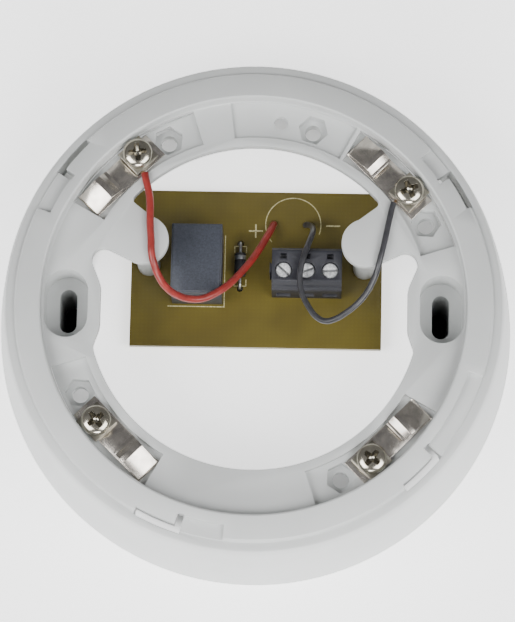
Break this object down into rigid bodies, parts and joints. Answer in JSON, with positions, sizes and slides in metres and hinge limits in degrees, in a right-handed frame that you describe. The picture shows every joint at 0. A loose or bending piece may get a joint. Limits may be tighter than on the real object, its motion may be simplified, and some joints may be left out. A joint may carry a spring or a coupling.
{
  "type": "fire detector mounting base with relay board",
  "caption": "Deep round surface base for a fire detector, with spring contacts, fixing slots and a relay board on posts behind its open middle.",
  "frame": {"origin": "centre of the rear rim, in the plane that meets the ceiling", "axes": "+Z out of the ceiling into the room; X through the two fixing slots; the relay board lies towards +Y"},
  "size_m": [0.112, 0.112, 0.0305],
  "materials": {
    "moulded_abs": "light grey-white moulded ABS, satin",
    "nickel_strip": "nickel-plated spring strip, as rolled",
    "nickel_clamp": "nickel-plated pressed steel",
    "nickel_screw": "bright nickel-plated steel screw",
    "nickel_nut": "nickel-plated steel nut",
    "zinc_screw": "zinc-plated steel",
    "board_laminate": "olive-brown solder-masked laminate",
    "solder": "reflowed solder, bright",
    "tinned_lead": "tinned copper",
    "relay_plastic": "dark slate moulded polyester",
    "bobbin_nylon": "natural nylon",
    "coil_copper": "enamelled copper wire",
    "soft_iron": "soft iron, plated",
    "contact_bronze": "phosphor bronze strip",
    "diode_epoxy": "black moulded epoxy",
    "terminal_polyamide": "near-black polyamide",
    "red_pvc": "red PVC lead insulation",
    "black_pvc": "black PVC lead insulation",
    "bare_copper": "bare copper strands"
  },
  "bodies": {
    "base": {"housing": "moulded_abs", "contact_strip_1": "nickel_strip", "contact_strip_2": "nickel_strip", "contact_strip_3": "nickel_strip", "contact_strip_4": "nickel_strip", "contact_nuts": "nickel_nut", "board": "board_laminate", "solder_joints": "solder", "board_screws": "zinc_screw", "relay_base": "relay_plastic", "relay_case": "relay_plastic", "relay_bobbin": "bobbin_nylon", "relay_coil": "coil_copper", "relay_core": "soft_iron", "relay_yoke": "soft_iron", "relay_closed_contact": "contact_bronze", "relay_open_contact": "contact_bronze", "relay_pins": "tinned_lead", "diode_body": "diode_epoxy", "diode_leads": "tinned_lead", "terminal_block": "terminal_polyamide", "terminal_plates": "tinned_lead", "red_lead": "red_pvc", "black_lead": "black_pvc", "red_lead_core": "bare_copper", "black_lead_core": "bare_copper"},
    "contact_1_tongue": {"contact_tongue_1": "nickel_strip"},
    "contact_1_clamp": {"clamp_plate_1": "nickel_clamp", "lock_washer_1": "nickel_clamp"},
    "contact_1_screw": {"contact_screw_1": "nickel_screw"},
    "contact_2_tongue": {"contact_tongue_2": "nickel_strip"},
    "contact_2_clamp": {"clamp_plate_2": "nickel_clamp", "lock_washer_2": "nickel_clamp"},
    "contact_2_screw": {"contact_screw_2": "nickel_screw"},
    "contact_3_tongue": {"contact_tongue_3": "nickel_strip"},
    "contact_3_clamp": {"clamp_plate_3": "nickel_clamp", "lock_washer_3": "nickel_clamp"},
    "contact_3_screw": {"contact_screw_3": "nickel_screw"},
    "contact_4_tongue": {"contact_tongue_4": "nickel_strip"},
    "contact_4_clamp": {"clamp_plate_4": "nickel_clamp", "lock_washer_4": "nickel_clamp"},
    "contact_4_screw": {"contact_screw_4": "nickel_screw"},
    "terminal_1_cage": {"terminal_cage_1": "zinc_screw"},
    "terminal_1_screw": {"terminal_screw_1": "zinc_screw"},
    "terminal_2_cage": {"terminal_cage_2": "zinc_screw"},
    "terminal_2_screw": {"terminal_screw_2": "zinc_screw"},
    "terminal_3_cage": {"terminal_cage_3": "zinc_screw"},
    "terminal_3_screw": {"terminal_screw_3": "zinc_screw"},
    "relay_armature_set": {"relay_armature": "soft_iron", "relay_moving_blade": "contact_bronze"}
  },
  "joints": [
    {"name": "contact_1_flex", "type": "hinge", "parent": "base", "child": "contact_1_tongue", "pos_m": [0.02171, 0.03571, 0.0267], "axis": [0.7071, 0.7071, 0], "range_deg": [0, 8], "stiffness_Nm_per_rad": 0.1},
    {"name": "contact_1_clamp_lift", "type": "slide", "parent": "base", "child": "contact_1_clamp", "axis": [0, 0, 1], "range_m": [0, 0.001]},
    {"name": "contact_1_screw_turn", "type": "hinge", "parent": "contact_1_clamp", "child": "contact_1_screw", "pos_m": [0.03274, 0.02553, 0.0263], "axis": [0, 0, 1], "range_deg": [0, 720]},
    {"name": "contact_2_flex", "type": "hinge", "parent": "base", "child": "contact_2_tongue", "pos_m": [-0.03571, 0.02171, 0.0267], "axis": [-0.7071, 0.7071, 0], "range_deg": [0, 8], "stiffness_Nm_per_rad": 0.1},
    {"name": "contact_2_clamp_lift", "type": "slide", "parent": "base", "child": "contact_2_clamp", "axis": [0, 0, 1], "range_m": [0, 0.001]},
    {"name": "contact_2_screw_turn", "type": "hinge", "parent": "contact_2_clamp", "child": "contact_2_screw", "pos_m": [-0.02553, 0.03274, 0.0263], "axis": [0, 0, 1], "range_deg": [0, 720]},
    {"name": "contact_3_flex", "type": "hinge", "parent": "base", "child": "contact_3_tongue", "pos_m": [-0.02171, -0.03571, 0.0267], "axis": [-0.7071, -0.7071, 0], "range_deg": [0, 8], "stiffness_Nm_per_rad": 0.1},
    {"name": "contact_3_clamp_lift", "type": "slide", "parent": "base", "child": "contact_3_clamp", "axis": [0, 0, 1], "range_m": [0, 0.001]},
    {"name": "contact_3_screw_turn", "type": "hinge", "parent": "contact_3_clamp", "child": "contact_3_screw", "pos_m": [-0.03274, -0.02553, 0.0263], "axis": [0, 0, 1], "range_deg": [0, 720]},
    {"name": "contact_4_flex", "type": "hinge", "parent": "base", "child": "contact_4_tongue", "pos_m": [0.03571, -0.02171, 0.0267], "axis": [0.7071, -0.7071, 0], "range_deg": [0, 8], "stiffness_Nm_per_rad": 0.1},
    {"name": "contact_4_clamp_lift", "type": "slide", "parent": "base", "child": "contact_4_clamp", "axis": [0, 0, 1], "range_m": [0, 0.001]},
    {"name": "contact_4_screw_turn", "type": "hinge", "parent": "contact_4_clamp", "child": "contact_4_screw", "pos_m": [0.02553, -0.03274, 0.0263], "axis": [0, 0, 1], "range_deg": [0, 720]},
    {"name": "terminal_1_cage_drop", "type": "slide", "parent": "base", "child": "terminal_1_cage", "axis": [0, 0, -1], "range_m": [0, 0.0019]},
    {"name": "terminal_1_screw_turn", "type": "hinge", "parent": "base", "child": "terminal_1_screw", "pos_m": [0.00602, 0.0114, 0.011], "axis": [0, 0, 1], "range_deg": [0, 1368]},
    {"name": "terminal_2_cage_drop", "type": "slide", "parent": "base", "child": "terminal_2_cage", "axis": [0, 0, -1], "range_m": [0, 0.0019]},
    {"name": "terminal_2_screw_turn", "type": "hinge", "parent": "base", "child": "terminal_2_screw", "pos_m": [0.0111, 0.0114, 0.011], "axis": [0, 0, 1], "range_deg": [0, 1368]},
    {"name": "terminal_3_cage_drop", "type": "slide", "parent": "base", "child": "terminal_3_cage", "axis": [0, 0, -1], "range_m": [0, 0.0019]},
    {"name": "terminal_3_screw_turn", "type": "hinge", "parent": "base", "child": "terminal_3_screw", "pos_m": [0.01618, 0.0114, 0.011], "axis": [0, 0, 1], "range_deg": [0, 1368]},
    {"name": "relay_pull_in", "type": "hinge", "parent": "base", "child": "relay_armature_set", "pos_m": [-0.0129, 0.0067, 0.0121], "axis": [-1, 0, 0], "range_deg": [0, 2.4], "stiffness_Nm_per_rad": 0.02}
  ],
  "couplings": [
    {"joint": "contact_1_screw_turn", "follows": "contact_1_clamp_lift", "rad_per_m": 12566},
    {"joint": "contact_2_screw_turn", "follows": "contact_2_clamp_lift", "rad_per_m": 12566},
    {"joint": "contact_3_screw_turn", "follows": "contact_3_clamp_lift", "rad_per_m": 12566},
    {"joint": "contact_4_screw_turn", "follows": "contact_4_clamp_lift", "rad_per_m": 12566},
    {"joint": "terminal_1_screw_turn", "follows": "terminal_1_cage_drop", "rad_per_m": 12566},
    {"joint": "terminal_2_screw_turn", "follows": "terminal_2_cage_drop", "rad_per_m": 12566},
    {"joint": "terminal_3_screw_turn", "follows": "terminal_3_cage_drop", "rad_per_m": 12566}
  ]
}
